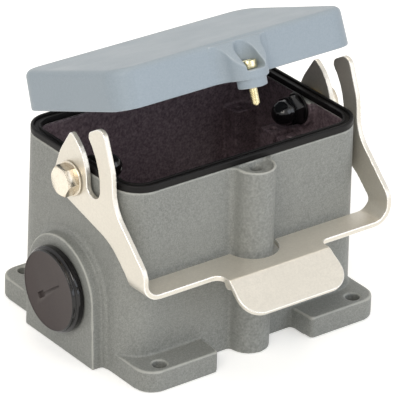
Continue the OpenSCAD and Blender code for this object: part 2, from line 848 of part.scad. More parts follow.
module plug_profile(stem_r) {
    face_r = plug_r - plug_face_inset;
    neck = plug_t - plug_disc_t;
    polygon([
        [0, -stem_l], [stem_r, -stem_l], [stem_r, 0],
        [plug_r, 0], [plug_r, neck - plug_groove], [plug_r - plug_groove, neck],
        [face_r, neck], [face_r, plug_t - plug_groove / 2], [face_r - plug_groove / 2, plug_t],
        [face_r - plug_groove, plug_t], [face_r - plug_groove, plug_t - plug_face_drop],
        [0, plug_t - plug_face_drop]
    ]);
}

module plug_slot() {
    half_slot = plug_slot_l / 2;
    translate([-plug_slot_w / 2, -half_slot, -plug_slot_d])
        cube([plug_slot_w, plug_slot_l, plug_t]);
    translate([-plug_key_w / 2, half_slot - plug_key_l, -2 * plug_slot_d])
        cube([plug_key_w, plug_key_l, plug_t]);
}

module blanking_plug() color([0.32, 0.28, 0.27]) on_side(-1)
    translate([plug_in, 0, entry_z]) rotate([0, 90, 0]) difference() {
        stem_r = entry_r - thread_fit;
        rotate_extrude($fn = 96) plug_profile(stem_r);
        translate([0, 0, -stem_l - CUT])
            cylinder(r = stem_r - stem_wall, h = stem_l - stem_web + CUT, $fn = 96);
        translate([0, 0, plug_t - plug_face_drop]) rotate([0, 0, -plug_slot_angle]) plug_slot();
    }

module plug_seal() color([0.1, 0.1, 0.1]) on_side(-1) difference() {
    rod_x(pad_face, plug_in, plug_r - plug_seal_inset, entry_z, $fn = 96);
    rod_x(pad_face - CUT, plug_in + CUT, entry_r + entry_chamfer, entry_z, $fn = 96);
}

// -------------------------------------------------------------- assembly

housing();
rim_seal();
lid();
lid_screw();
lid_screw_ring();
hinge_pin();
left_pin_clip();
right_pin_clip();
locking_lever();
left_pivot_bolt();
right_pivot_bolt();
left_pivot_bush();
right_pivot_bush();
left_pivot_washer();
right_pivot_washer();
left_cap_nut();
right_cap_nut();
left_sealing_washer();
right_sealing_washer();
blanking_plug();
plug_seal();
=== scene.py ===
"""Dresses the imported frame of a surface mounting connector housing.

The frame is a drafted aluminium casting with a hinged lid, a bent sheet locking lever on two
sealed pivots, a captive lid screw and a blanking plug. This script gives every piece its cast,
bent, turned or moulded surface and its finish, and sets the floor, the light and the camera.
"""

import json
import logging
import math
from collections.abc import Mapping, Sequence
from dataclasses import dataclass, field
from enum import Enum

import bmesh
import bpy
import numpy as np
from mathutils import Matrix, Vector

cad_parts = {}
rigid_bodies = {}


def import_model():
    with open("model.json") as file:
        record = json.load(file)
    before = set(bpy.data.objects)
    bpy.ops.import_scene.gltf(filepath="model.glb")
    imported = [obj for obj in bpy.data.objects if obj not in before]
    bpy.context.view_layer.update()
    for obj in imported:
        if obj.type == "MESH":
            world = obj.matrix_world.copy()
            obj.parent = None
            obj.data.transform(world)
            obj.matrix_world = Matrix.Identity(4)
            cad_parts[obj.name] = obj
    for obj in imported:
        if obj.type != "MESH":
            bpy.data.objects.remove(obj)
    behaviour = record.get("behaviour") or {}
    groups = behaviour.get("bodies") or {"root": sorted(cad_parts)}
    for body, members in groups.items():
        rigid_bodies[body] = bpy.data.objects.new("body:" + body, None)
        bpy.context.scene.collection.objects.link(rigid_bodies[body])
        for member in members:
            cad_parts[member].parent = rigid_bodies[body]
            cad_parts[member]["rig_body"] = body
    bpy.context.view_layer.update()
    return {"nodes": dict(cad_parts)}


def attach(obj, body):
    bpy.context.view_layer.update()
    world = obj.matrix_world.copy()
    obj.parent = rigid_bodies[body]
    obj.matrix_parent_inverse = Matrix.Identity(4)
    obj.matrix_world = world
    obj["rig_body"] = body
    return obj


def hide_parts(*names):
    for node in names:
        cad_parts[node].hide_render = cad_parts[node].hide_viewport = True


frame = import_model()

LOG = logging.getLogger("connector_housing")
MM = 0.001
Colour = tuple[float, float, float, float]
Socket = bpy.types.NodeSocket
NodeTree = bpy.types.NodeTree
Material = bpy.types.Material
Mesh = bpy.types.Mesh
Piece = bpy.types.Object
Value = float | int | bool | Colour | tuple[float, ...] | Socket


class Side(Enum):
    """The end of the housing that a pair's piece belongs to, as its sign along X."""

    LEFT = -1
    RIGHT = 1

    @property
    def prefix(self) -> str:
        """The word that a piece's name starts with on this side."""
        return self.name.lower()


class Edge(Enum):
    """How far the edges of a turned or moulded piece are broken, in metres."""

    CRISP = 0.08 * MM
    BROKEN = 0.18 * MM
    MOULDED = 0.3 * MM


def srgb(red: int, green: int, blue: int) -> Colour:
    """Turns a display colour into linear light.

    Args:
        red: Red, 0 to 255.
        green: Green, 0 to 255.
        blue: Blue, 0 to 255.

    Returns:
        The opaque colour that a shader socket takes.
    """
    parts = (c / 255 for c in (red, green, blue))
    linear = [c / 12.92 if c <= 0.04045 else ((c + 0.055) / 1.055) ** 2.4 for c in parts]
    return (linear[0], linear[1], linear[2], 1.0)


# ------------------------------------------------------------------ node trees


class NodeSheet:
    """A node tree with short calls that add its nodes and join them."""

    def __init__(self, tree: NodeTree) -> None:
        """Keeps the tree that the nodes go into."""
        self.tree = tree

    def add(
        self,
        kind: str,
        inputs: Mapping[str | int, Value] | None = None,
        **settings: object,
    ) -> bpy.types.Node:
        """Adds one node.

        Args:
            kind: The node's type name.
            inputs: A value or another node's output for each input, by name or index.
            **settings: The node's own properties.

        Returns:
            The new node.
        """
        node = self.tree.nodes.new(kind)
        for name, setting in settings.items():
            setattr(node, name, setting)
        for key, value in (inputs or {}).items():
            if isinstance(value, Socket):
                self.tree.links.new(value, node.inputs[key])
            else:
                node.inputs[key].default_value = value
        return node

    def math(self, operation: str, *values: Value) -> Socket:
        """Adds a Math node and gives its result."""
        return self.add("ShaderNodeMath", dict(enumerate(values)), operation=operation).outputs[0]

    def place(self) -> Socket:
        """The point's place in the frame."""
        return self.add("ShaderNodeTexCoord").outputs["Object"]

    def noise(self, place: Value, scale: Value, detail: float, roughness: float = 0.5) -> Socket:
        """Adds a noise.

        Args:
            place: The point that it is read at.
            scale: Its lumps per metre.
            detail: How many finer layers lie on it.
            roughness: How strong the finer layers are.

        Returns:
            Its value.
        """
        inputs = {"Vector": place, "Scale": scale, "Detail": detail, "Roughness": roughness}
        return self.add("ShaderNodeTexNoise", inputs).outputs[0]

    def blend(self, factor: Value, first: Value, second: Value) -> Socket:
        """Mixes two colours by a factor of 0 to 1."""
        inputs = {0: factor, 6: first, 7: second}
        return self.add("ShaderNodeMix", inputs, data_type="RGBA").outputs[2]

    def mix(self, factor: Value, first: Value, second: Value) -> Socket:
        """Mixes two numbers by a factor of 0 to 1."""
        return self.add("ShaderNodeMix", {0: factor, 2: first, 3: second}).outputs[0]

    def radius(self, centre_y: Value, centre_z: Value) -> Socket:
        """How far the point lies from an axis along X."""
        split = self.add("ShaderNodeSeparateXYZ", {0: self.place()}).outputs
        across = self.math("SUBTRACT", split[1], centre_y)
        above = self.math("SUBTRACT", split[2], centre_z)
        square = self.math("MULTIPLY_ADD", across, across, self.math("MULTIPLY", above, above))
        return self.math("SQRT", square)

    def ramp(self, value: Value, low: Value, high: Value, smooth: bool = True) -> Socket:
        """Adds a Map Range node that stretches low..high to 0..1.

        Args:
            value: The value that is stretched.
            low: What becomes 0.
            high: What becomes 1.
            smooth: Whether the two ends ease in and out.

        Returns:
            The stretched value.
        """
        node = self.add(
            "ShaderNodeMapRange",
            {0: value, 1: low, 2: high},
            interpolation_type="SMOOTHSTEP" if smooth else "LINEAR",
        )
        return node.outputs[0]


class GroupSheet(NodeSheet):
    """A node group with named inputs and outputs."""

    def __init__(self, name: str, kind: str) -> None:
        """Makes the empty group.

        Args:
            name: The group's name.
            kind: ShaderNodeTree or GeometryNodeTree.
        """
        super().__init__(bpy.data.node_groups.new(name, kind))
        self.ids: dict[str, str] = {}
        self.source = self.tree.nodes.new("NodeGroupInput")
        self.sink = self.tree.nodes.new("NodeGroupOutput")

    def take(self, name: str, value: float | int | None = None, kind: str = "Float") -> Socket:
        """Adds an input to the group.

        Args:
            name: The input's name.
            value: Its value where nothing else is given.
            kind: Float, Int, Vector, Material or Geometry.

        Returns:
            The socket inside the group that gives the input.
        """
        socket = self.tree.interface.new_socket(
            name=name, in_out="INPUT", socket_type=f"NodeSocket{kind}"
        )
        if value is not None:
            socket.default_value = value
        self.ids[name] = socket.identifier
        return self.source.outputs[name]

    def give(self, name: str, socket: Socket, kind: str = "Float") -> None:
        """Adds an output to the group.

        Args:
            name: The output's name.
            socket: The socket inside the group that it carries.
            kind: Float, Color, Vector or Geometry.
        """
        self.tree.interface.new_socket(name=name, in_out="OUTPUT", socket_type=f"NodeSocket{kind}")
        self.tree.links.new(socket, self.sink.inputs[name])


class Effects:
    """The surface effects that several finishes share, one node group each."""

    def __init__(self) -> None:
        """Builds every group once."""
        self.cast_grain = self._cast_grain()
        self.edge_wear = self._edge_wear()
        self.cloud = self._cloud()
        self.rolled_sheet = self._rolled_sheet()
        self.turning = self._turning()

    def _cast_grain(self) -> NodeTree:
        """Grain of enamel over a shot blasted casting: its height and its light and dark."""
        group = GroupSheet("cast_grain", "ShaderNodeTree")
        per_metre = group.take("Grains per metre", 900.0)
        pitting = group.take("Pitting", 0.3)
        place = group.place()
        fine = group.noise(place, per_metre, 2.0, 0.6)
        broad = group.noise(place, group.math("MULTIPLY", per_metre, 0.42), 1.0)
        pits = group.add(
            "ShaderNodeTexVoronoi",
            {"Vector": place, "Scale": group.math("MULTIPLY", per_metre, 0.6), "Randomness": 1.0},
        ).outputs["Distance"]
        pit = group.math("MULTIPLY", group.ramp(pits, 0.0, 0.32), pitting)
        height = group.math("ADD", group.math("MULTIPLY_ADD", broad, 0.55, fine), pit)
        group.give("Height", height)
        mixed = group.math("MULTIPLY_ADD", group.math("SUBTRACT", broad, 0.5), 0.35, fine)
        group.give("Mottle", group.ramp(mixed, 0.3, 0.7, False))
        return group.tree

    def _edge_wear(self) -> NodeTree:
        """Painted highlight where edges stand out of a piece, broken up along their length, and
        painted shade in its hollows.
        """
        group = GroupSheet("edge_wear", "ShaderNodeTree")
        low = group.take("From", 0.25)
        high = group.take("To", 0.8)
        per_metre = group.take("Breaks per metre", 260.0)
        breakup = group.take("Break up", 0.5)
        edge = group.add("ShaderNodeAttribute", attribute_name="edge").outputs["Fac"]
        noise = group.noise(group.place(), per_metre, 3.0)
        shifted = group.math("MULTIPLY_ADD", group.math("SUBTRACT", noise, 0.5), breakup, edge)
        # Mask: where the finishes paint a highlight along the edges.
        group.give("Mask", group.ramp(shifted, low, high))
        # Hollow: where the finishes paint shade in the corners that lie in.
        hollow = group.add("ShaderNodeAttribute", attribute_name="hollow").outputs["Fac"]
        group.give("Hollow", group.math("MULTIPLY", hollow, group.ramp(noise, 0.25, 0.7)))
        return group.tree

    def _cloud(self) -> NodeTree:
        """A slow change over a whole piece, between two values."""
        group = GroupSheet("cloud", "ShaderNodeTree")
        per_metre = group.take("Clouds per metre", 30.0)
        low = group.take("Low", 0.0)
        high = group.take("High", 1.0)
        noise = group.noise(group.place(), per_metre, 4.0, 0.55)
        ramp = group.add("ShaderNodeMapRange", {0: noise, 1: 0.3, 2: 0.7, 3: low, 4: high})
        group.give("Value", ramp.outputs[0])
        return group.tree

    def _rolled_sheet(self) -> NodeTree:
        """Rolling lines and fine speckle of zinc plated sheet."""
        group = GroupSheet("rolled_sheet", "ShaderNodeTree")
        per_metre = group.take("Lines per metre", 1500.0)
        place = group.place()
        stretch = group.add("ShaderNodeMapping", {"Vector": place, "Scale": (0.12, 1.0, 1.0)})
        lines = group.noise(stretch.outputs[0], per_metre, 2.0)
        speckles = group.math("MULTIPLY", per_metre, 0.9)
        speckle = group.add("ShaderNodeTexVoronoi", {"Vector": place, "Scale": speckles})
        flake = group.add("ShaderNodeSeparateColor", {0: speckle.outputs["Color"]}).outputs[0]
        group.give("Height", group.math("MULTIPLY_ADD", flake, 0.4, lines))
        half = group.math("MULTIPLY", lines, 0.5)
        group.give("Flake", group.math("MULTIPLY_ADD", flake, 0.5, half))
        return group.tree

    def _turning(self) -> NodeTree:
        """Fine rings about an axis along X, as a lathe or a round mould leaves them."""
        group = GroupSheet("turning", "ShaderNodeTree")
        per_metre = group.take("Rings per metre", 3000.0)
        centre_y = group.take("Centre Y", 0.0)
        centre_z = group.take("Centre Z", 0.0)
        along = group.add("ShaderNodeSeparateXYZ", {0: group.place()}).outputs[0]
        out = group.math("ADD", group.radius(centre_y, centre_z), along)
        reach = group.math("MULTIPLY", out, per_metre)
        rings = group.add(
            "ShaderNodeTexNoise", {"W": reach, "Scale": 1.0, "Detail": 2.0}, noise_dimensions="1D"
        )
        group.give("Height", rings.outputs[0])
        return group.tree


# -------------------------------------------------------------------- finishes


class FinishSheet(NodeSheet):
    """A material's tree round one Principled shader."""

    def __init__(self, name: str, effects: Effects) -> None:
        """Makes the material.

        Args:
            name: The material's name.
            effects: The shared node groups.
        """
        self.material = bpy.data.materials.new(name)
        self.material.use_nodes = True
        super().__init__(self.material.node_tree)
        self.effects = effects
        self.shader = self.tree.nodes["Principled BSDF"]

    def effect(self, tree: NodeTree, inputs: Mapping[str, float]) -> bpy.types.Node:
        """Adds one of the shared groups with this finish's own values."""
        node = self.add("ShaderNodeGroup", node_tree=tree)
        for name, value in inputs.items():
            node.inputs[name].default_value = value
        return node

    def bump(self, height: Value, depth: float, under: Socket | None = None) -> Socket:
        """Turns a height into a normal.

        Args:
            height: The height field.
            depth: How deep it is, in metres.
            under: The normal of a coarser bump that this one lies on.

        Returns:
            The normal.
        """
        inputs: dict[str | int, Value] = {"Height": height, "Distance": depth, "Strength": 1.0}
        if under is not None:
            inputs["Normal"] = under
        return self.add("ShaderNodeBump", inputs).outputs[0]

    def drive(self, **sockets: Value) -> Material:
        """Sets or joins the shader's sockets.

        Args:
            **sockets: A value or socket for each, named with underscores for spaces.

        Returns:
            The finished material.
        """
        for name, value in sockets.items():
            socket = self.shader.inputs[name.replace("_", " ").title().replace("Ior", "IOR")]
            if isinstance(value, Socket):
                self.tree.links.new(value, socket)
            else:
                socket.default_value = value
        return self.material


@dataclass(frozen=True)
class CastEnamel:
    """Stoved enamel on an aluminium casting, with a second colour inside.

    Attributes:
        name: The material's name.
        colour: The enamel.
        dark: The enamel in the grain's dips, and the painted shade in hollows.
        edge: The painted highlight along edges, a paler enamel.
        inside: The finish of the surfaces marked as inside.
        inside_dark: That finish in the grain's dips.
        roughness: How matt the enamel is.
        shine: How strongly it mirrors, where 0.5 is a plain lacquer.
        grains: Grains per metre.
        depth: Depth of the grain, in metres.
    """

    name: str
    colour: Colour
    dark: Colour
    edge: Colour
    inside: Colour
    inside_dark: Colour
    roughness: float
    shine: float
    grains: float
    depth: float

    def build(self, effects: Effects) -> Material:
        """Makes the material from the shared effects."""
        sheet = FinishSheet(self.name, effects)
        grain = sheet.effect(effects.cast_grain, {"Grains per metre": self.grains, "Pitting": 0.3})
        blast = sheet.effect(
            effects.cast_grain, {"Grains per metre": 0.55 * self.grains, "Pitting": 0.8}
        )
        cloud = sheet.effect(effects.cloud, {"Clouds per metre": 26.0, "Low": 0.0, "High": 0.3})
        # Painted highlight along edges and painted shade in hollows, from the edge and hollow
        # masks.
        highlight_shade = sheet.effect(effects.edge_wear, {"From": 0.45, "To": 1.3, "Break up": 0.5})
        inner = sheet.add("ShaderNodeAttribute", attribute_name="inside").outputs["Fac"]
        coarse = sheet.add("ShaderNodeAttribute", attribute_name="coarse").outputs["Fac"]
        light = sheet.mix(coarse, grain.outputs["Mottle"], blast.outputs["Mottle"])
        enamel = sheet.blend(light, self.dark, self.colour)
        enamel = sheet.blend(cloud.outputs[0], enamel, self.colour)
        # Painted shade in hollows, towards the dark enamel.
        shaded = sheet.blend(sheet.math("MULTIPLY", highlight_shade.outputs["Hollow"], 0.3), enamel, self.dark)
        # Painted highlight along edges, towards the edge colour.
        edge_highlight = sheet.blend(sheet.math("MULTIPLY", highlight_shade.outputs["Mask"], 0.6), shaded, self.edge)
        speck = sheet.blend(blast.outputs["Mottle"], self.inside_dark, self.inside)
        gloss = sheet.effect(
            effects.cloud,
            {"Clouds per metre": 60.0, "Low": self.roughness, "High": self.roughness + 0.1},
        )
        height = sheet.mix(coarse, grain.outputs["Height"], blast.outputs["Height"])
        return sheet.drive(
            base_color=sheet.blend(inner, edge_highlight, speck),
            roughness=sheet.mix(inner, gloss.outputs[0], 0.46),
            specular_ior_level=self.shine,
            normal=sheet.bump(height, self.depth),
        )


@dataclass(frozen=True)
class ZincSheet:
    """Satin zinc plating on bent steel sheet.

    Attributes:
        name: The material's name.
        colour: The bright of the plating.
        shade: The dull of the plating.
        edge: The painted highlight along the sheet's cut edges.
        roughness: How matt the faces are.
        lines: Rolling lines per metre.
        metal: How far the dulled plating still mirrors as metal.
    """

    name: str
    colour: Colour
    shade: Colour
    edge: Colour
    roughness: float
    lines: float = 1500.0
    metal: float = 0.72

    def build(self, effects: Effects) -> Material:
        """Makes the material from the shared effects."""
        sheet = FinishSheet(self.name, effects)
        rolled = sheet.effect(effects.rolled_sheet, {"Lines per metre": self.lines})
        cloud = sheet.effect(effects.cloud, {"Clouds per metre": 45.0, "Low": 0.0, "High": 0.5})
        highlight_shade = sheet.effect(effects.edge_wear, {"From": 0.35, "To": 0.95, "Break up": 0.3})
        plate = sheet.blend(rolled.outputs["Flake"], self.shade, self.colour)
        plate = sheet.blend(cloud.outputs[0], plate, self.shade)
        rough = sheet.math("MULTIPLY_ADD", rolled.outputs["Flake"], 0.12, self.roughness)
        return sheet.drive(
            # Painted highlight along the cut edges.
            base_color=sheet.blend(highlight_shade.outputs["Mask"], plate, self.edge),
            roughness=sheet.mix(highlight_shade.outputs["Mask"], rough, 0.24),
            metallic=self.metal,
            normal=sheet.bump(rolled.outputs["Height"], 0.02 * MM),
        )


@dataclass(frozen=True)
class TurnedMetal:
    """Plated or bare metal turned or formed about an axis along X.

    Attributes:
        name: The material's name.
        colour: The metal.
        edge: The paler metal, mixed in by clouds, and the painted highlight along edges.
        roughness: How matt it is.
        centre: Y and Z of the axis, in metres.
    """

    name: str
    colour: Colour
    edge: Colour
    roughness: float
    centre: tuple[float, float] = (0.0, 0.0)

    def build(self, effects: Effects) -> Material:
        """Makes the material from the shared effects."""
        sheet = FinishSheet(self.name, effects)
        axis = {"Centre Y": self.centre[0], "Centre Z": self.centre[1]}
        rings = sheet.effect(effects.turning, axis)
        cloud = sheet.effect(effects.cloud, {"Clouds per metre": 160.0, "Low": 0.0, "High": 0.5})
        highlight_shade = sheet.effect(
            effects.edge_wear, {"From": 0.3, "To": 0.9, "Breaks per metre": 700.0}
        )
        metal = sheet.blend(cloud.outputs[0], self.colour, self.edge)
        rough = sheet.math("MULTIPLY_ADD", cloud.outputs[0], 0.14, self.roughness)
        return sheet.drive(
            # Painted highlight along edges.
            base_color=sheet.blend(highlight_shade.outputs["Mask"], metal, self.edge),
            roughness=rough,
            metallic=1.0,
            normal=sheet.bump(rings.outputs[0], 0.012 * MM),
        )


@dataclass(frozen=True)
class MouldedPlastic:
    """Glass filled plastic with a matt eroded face and a glossier rim.

    Attributes:
        name: The material's name.
        face: The eroded face.
        stain: The face where it is darker.
        grit: The face's pale grains.
        rim: The glossy rim.
        rubbed: The painted highlight along the plug's edges.
        centre: Y and Z of the round face's axis, in metres.
        face_radius: Where the rim starts, in metres.
    """

    name: str
    face: Colour
    stain: Colour
    grit: Colour
    rim: Colour
    rubbed: Colour
    centre: tuple[float, float]
    face_radius: float

    def build(self, effects: Effects) -> Material:
        """Makes the material from the shared effects."""
        sheet = FinishSheet(self.name, effects)
        fade = 0.2 * MM
        rim = sheet.ramp(
            sheet.radius(*self.centre), self.face_radius - fade, self.face_radius + fade, False
        )
        grain = sheet.effect(effects.cast_grain, {"Grains per metre": 2600.0, "Pitting": 0.2})
        highlight_shade = sheet.effect(
            effects.edge_wear, {"From": 0.4, "To": 1.0, "Breaks per metre": 500.0}
        )
        cloud = sheet.effect(effects.cloud, {"Clouds per metre": 70.0, "Low": 0.0, "High": 0.4})
        face = sheet.blend(cloud.outputs[0], self.face, self.stain)
        face = sheet.blend(sheet.math("MULTIPLY", grain.outputs["Mottle"], 0.3), face, self.grit)
        plastic = sheet.blend(rim, face, self.rim)
        # Painted highlight along the plug's edges.
        edge_highlight = sheet.math("MULTIPLY", highlight_shade.outputs["Mask"], 0.15)
        height = sheet.math("MULTIPLY", grain.outputs["Height"], sheet.math("SUBTRACT", 1.0, rim))
        return sheet.drive(
            base_color=sheet.blend(edge_highlight, plastic, self.rubbed),
            roughness=sheet.mix(rim, 0.66, 0.13),
            normal=sheet.bump(height, 0.04 * MM),
        )


@dataclass(frozen=True)
class SoftBlack:
    """Black rubber or glossy black lacquer, by its roughness.

    Attributes:
        name: The material's name.
        colour: The black.
        dust: The black where dust lies on it.
        roughness: How matt it is.
        shine: How strongly it mirrors, where 0.5 is a plain lacquer.
        depth: Depth of its skin's texture, in metres.
    """

    name: str
    colour: Colour
    dust: Colour
    roughness: float
    shine: float
    depth: float

    def build(self, effects: Effects) -> Material:
        """Makes the material from the shared effects."""
        sheet = FinishSheet(self.name, effects)
        grain = sheet.effect(effects.cast_grain, {"Grains per metre": 1800.0, "Pitting": 0.2})
        dust = sheet.effect(effects.cloud, {"Clouds per metre": 120.0, "Low": 0.0, "High": 0.25})
        rough = sheet.math("MULTIPLY_ADD", grain.outputs["Mottle"], 0.1, self.roughness)
        return sheet.drive(
            base_color=sheet.blend(dust.outputs[0], self.colour, self.dust),
            roughness=rough,
            specular_ior_level=self.shine,
            normal=sheet.bump(grain.outputs["Height"], self.depth),
        )


PIVOT = (-4.2 * MM, 86.7 * MM)
ENTRY = (0.0, 30.6 * MM)
HINGE = (53.35 * MM, 97.6 * MM)


class Finishes:
    """Every finish of the housing, built once and kept by its use."""

    def __init__(self, effects: Effects) -> None:
        """Builds the materials from the shared effects."""
        # Each finish's edge colour, and the plug's fifth colour, is a painted highlight along
        # edges.
        self.housing = CastEnamel(
            "housing_enamel", srgb(148, 150, 146), srgb(117, 119, 116), srgb(196, 197, 190),
            srgb(128, 111, 117), srgb(78, 65, 70), 0.43, 0.45, 1600.0, 0.09 * MM,
        ).build(effects)
        self.lid = CastEnamel(
            "lid_enamel", srgb(155, 167, 177), srgb(147, 159, 169), srgb(188, 197, 204),
            srgb(150, 156, 162), srgb(140, 146, 152), 0.36, 0.35, 1500.0, 0.02 * MM,
        ).build(effects)
        self.lever = ZincSheet(
            "lever_zinc", srgb(232, 227, 216), srgb(215, 210, 199), srgb(250, 248, 243), 0.33
        ).build(effects)
        self.bolt = TurnedMetal(
            "bolt_zinc", srgb(196, 184, 165), srgb(236, 229, 214), 0.2, PIVOT
        ).build(effects)
        self.screw = TurnedMetal(
            "screw_passivate", srgb(221, 207, 158), srgb(250, 241, 208), 0.2
        ).build(effects)
        self.pin = TurnedMetal(
            "pin_steel", srgb(196, 196, 194), srgb(232, 232, 230), 0.3, HINGE
        ).build(effects)
        self.brass = TurnedMetal(
            "bush_brass", srgb(206, 176, 110), srgb(236, 214, 160), 0.32, PIVOT
        ).build(effects)
        self.plug = MouldedPlastic(
            "plug_plastic", srgb(62, 54, 53), srgb(50, 43, 43), srgb(82, 72, 70),
            srgb(16, 14, 15), srgb(120, 112, 108), ENTRY, 18.6 * MM,
        ).build(effects)
        self.nut = SoftBlack(
            "nut_black", srgb(14, 13, 14), srgb(30, 28, 29), 0.1, 0.5, 0.01 * MM
        ).build(effects)
        self.seal = SoftBlack(
            "seal_rubber", srgb(13, 11, 11), srgb(27, 25, 25), 0.45, 0.22, 0.03 * MM
        ).build(effects)


# --------------------------------------------------------------------- meshes


JOINED = 0.002 * MM
FLAT = math.radians(0.6)
BEVELLED = math.radians(32)
CREASED = math.radians(38)
BEND_FROM, BEND_OVER = math.radians(12), math.radians(25)
RELIEF_PASSES = 6


def plain_object(name: str, mesh: Mesh) -> Piece:
    """Puts a mesh into the scene as an object at the origin."""
    piece = bpy.data.objects.new(name, mesh)
    bpy.context.scene.collection.objects.link(piece)
    return piece


def merged_copy(node: str) -> Mesh:
    """Copies a frame node's mesh with its loose triangles joined.

    Args:
        node: The frame node's name.

    Returns:
        The joined mesh.
    """
    mesh = bpy.data.meshes.new(f"{node}_joined")
    shape = bmesh.new()
    shape.from_mesh(frame["nodes"][node].data)
    bmesh.ops.remove_doubles(shape, verts=shape.verts, dist=JOINED)
    shape.to_mesh(mesh)
    shape.free()
    mesh.materials.clear()
    return mesh


def evaluated(piece: Piece) -> Mesh:
    """Applies an object's modifiers.

    Args:
        piece: The object, which loses its modifiers.

    Returns:
        The mesh that the modifiers made.
    """
    graph = bpy.context.evaluated_depsgraph_get()
    mesh = bpy.data.meshes.new_from_object(
        piece.evaluated_get(graph), preserve_all_data_layers=True, depsgraph=graph
    )
    piece.modifiers.clear()
    return mesh


def points_of(mesh: Mesh) -> np.ndarray:
    """The mesh's points as rows of X, Y and Z."""
    flat = np.empty(len(mesh.vertices) * 3, np.float32)
    mesh.vertices.foreach_get("co", flat)
    return flat.reshape(-1, 3).astype(float)


def normals_of(mesh: Mesh) -> np.ndarray:
    """The mesh's point normals as rows of X, Y and Z."""
    flat = np.empty(len(mesh.vertices) * 3, np.float32)
    mesh.vertex_normals.foreach_get("vector", flat)
    return flat.reshape(-1, 3).astype(float)


def relaxed(mesh: Mesh, points: np.ndarray, passes: int) -> np.ndarray:
    """Moves each point half way to the mean of its neighbours, several times.

    Args:
        mesh: The mesh whose edges say who the neighbours are.
        points: Where the points start.
        passes: How many times they move.

    Returns:
        Where the points end.
    """
    pairs = np.empty(len(mesh.edges) * 2, np.int32)
    mesh.edges.foreach_get("vertices", pairs)
    first, second = pairs[::2], pairs[1::2]
    here, there = np.concatenate([first, second]), np.concatenate([second, first])
    count = len(points)
    degree = np.maximum(np.bincount(here, minlength=count), 1)
    for _ in range(passes):
        near = points[there]
        mean = np.stack([np.bincount(here, near[:, k], count) / degree for k in range(3)], axis=1)
        points = (points + mean) / 2
    return points


def write_mask(mesh: Mesh, name: str, values: np.ndarray) -> None:
    """Stores one number for each point under a name that the finishes read."""
    layer = mesh.attributes.new(name, "FLOAT", "POINT")
    layer.data.foreach_set("value", values.astype(np.float32))


def mark_relief(mesh: Mesh, passes: int, reach: float) -> None:
    """Marks how far edges stand out of, and corners lie in, their surroundings.

    Args:
        mesh: An evenly divided mesh.
        passes: How far round a point its surroundings go.
        reach: The relief that counts as full, in metres.
    """
    points = points_of(mesh)
    relief = ((points - relaxed(mesh, points, passes)) * normals_of(mesh)).sum(axis=1) / reach
    # The finishes paint highlights where the edge mask is high and shade where the hollow mask is
    # high.
    write_mask(mesh, "edge", np.clip(relief, 0, 1.5))
    write_mask(mesh, "hollow", np.clip(-relief, 0, 1))


@dataclass(frozen=True)
class SoftSkin:
    """The rounded surface of a cast, bent or moulded piece.

    Attributes:
        voxel: Grid that the piece is built on again, in metres.
        rounding: How many times its points are evened out.
        faces: The most triangles that the finished piece has.
        relief: The relief that counts as a full edge, in metres.
    """

    voxel: float
    rounding: int
    faces: int
    relief: float

    def even(
        self, node: str, add: Sequence[Mesh] = (), cut: Mesh | None = None
    ) -> Piece:
        """Builds a frame node again from small even faces with softened edges.

        Args:
            node: The frame node's name.
            add: Closed shapes that run into the node and are cast with it.
            cut: A closed shape that is taken away from it first.

        Returns:
            The new object, named for the node.
        """
        piece = plain_object(f"{node}_skin", merged_copy(node))
        if cut is not None:
            tool = plain_object(f"{node}_cutter", cut)
            away = piece.modifiers.new("away", "BOOLEAN")
            away.operation = "DIFFERENCE"
            away.solver = "EXACT"
            away.object = tool
            piece.data = evaluated(piece)
            bpy.data.objects.remove(tool)
        join_shapes(piece.data, add)
        grid = piece.modifiers.new("grid", "REMESH")
        grid.mode = "VOXEL"
        grid.voxel_size = self.voxel * 1
        mesh = evaluated(piece)
        softened = relaxed(mesh, points_of(mesh), self.rounding)
        mesh.vertices.foreach_set("co", softened.astype(np.float32).ravel())
        mesh.update()
        mark_relief(mesh, RELIEF_PASSES, self.relief)
        piece.data = mesh
        return piece

    def thin(self, piece: Piece) -> Piece:
        """Takes out faces that the shape doesn't need, down to the limit."""
        piece.data.calc_loop_triangles()
        have = len(piece.data.loop_triangles)
        if have > self.faces:
            fewer = piece.modifiers.new("fewer", "DECIMATE")
            fewer.ratio = self.faces / have
            piece.data = evaluated(piece)
        piece.data.shade_smooth()
        return piece


def prism(outline: Sequence[Vector], along: Vector) -> Mesh:
    """A closed block between an outline and its copy further along.

    Args:
        outline: The corners of one end, in order.
        along: How far and which way the other end lies.

    Returns:
        The block, with its faces pointing outwards.
    """
    mesh = bpy.data.meshes.new("block")
    shape = bmesh.new()
    base = shape.faces.new([shape.verts.new(corner) for corner in outline])
    grown = bmesh.ops.extrude_face_region(shape, geom=[base])["geom"]
    moved = [part for part in grown if isinstance(part, bmesh.types.BMVert)]
    bmesh.ops.translate(shape, verts=moved, vec=along)
    bmesh.ops.recalc_face_normals(shape, faces=shape.faces)
    shape.to_mesh(mesh)
    shape.free()
    return mesh


def join_shapes(mesh: Mesh, shapes: Sequence[Mesh]) -> None:
    """Adds closed shapes to a mesh, to be cast with it.

    Args:
        mesh: The mesh that takes the shapes.
        shapes: The shapes.
    """
    whole = bmesh.new()
    whole.from_mesh(mesh)
    for shape in shapes:
        whole.from_mesh(shape)
    whole.to_mesh(mesh)
    whole.free()


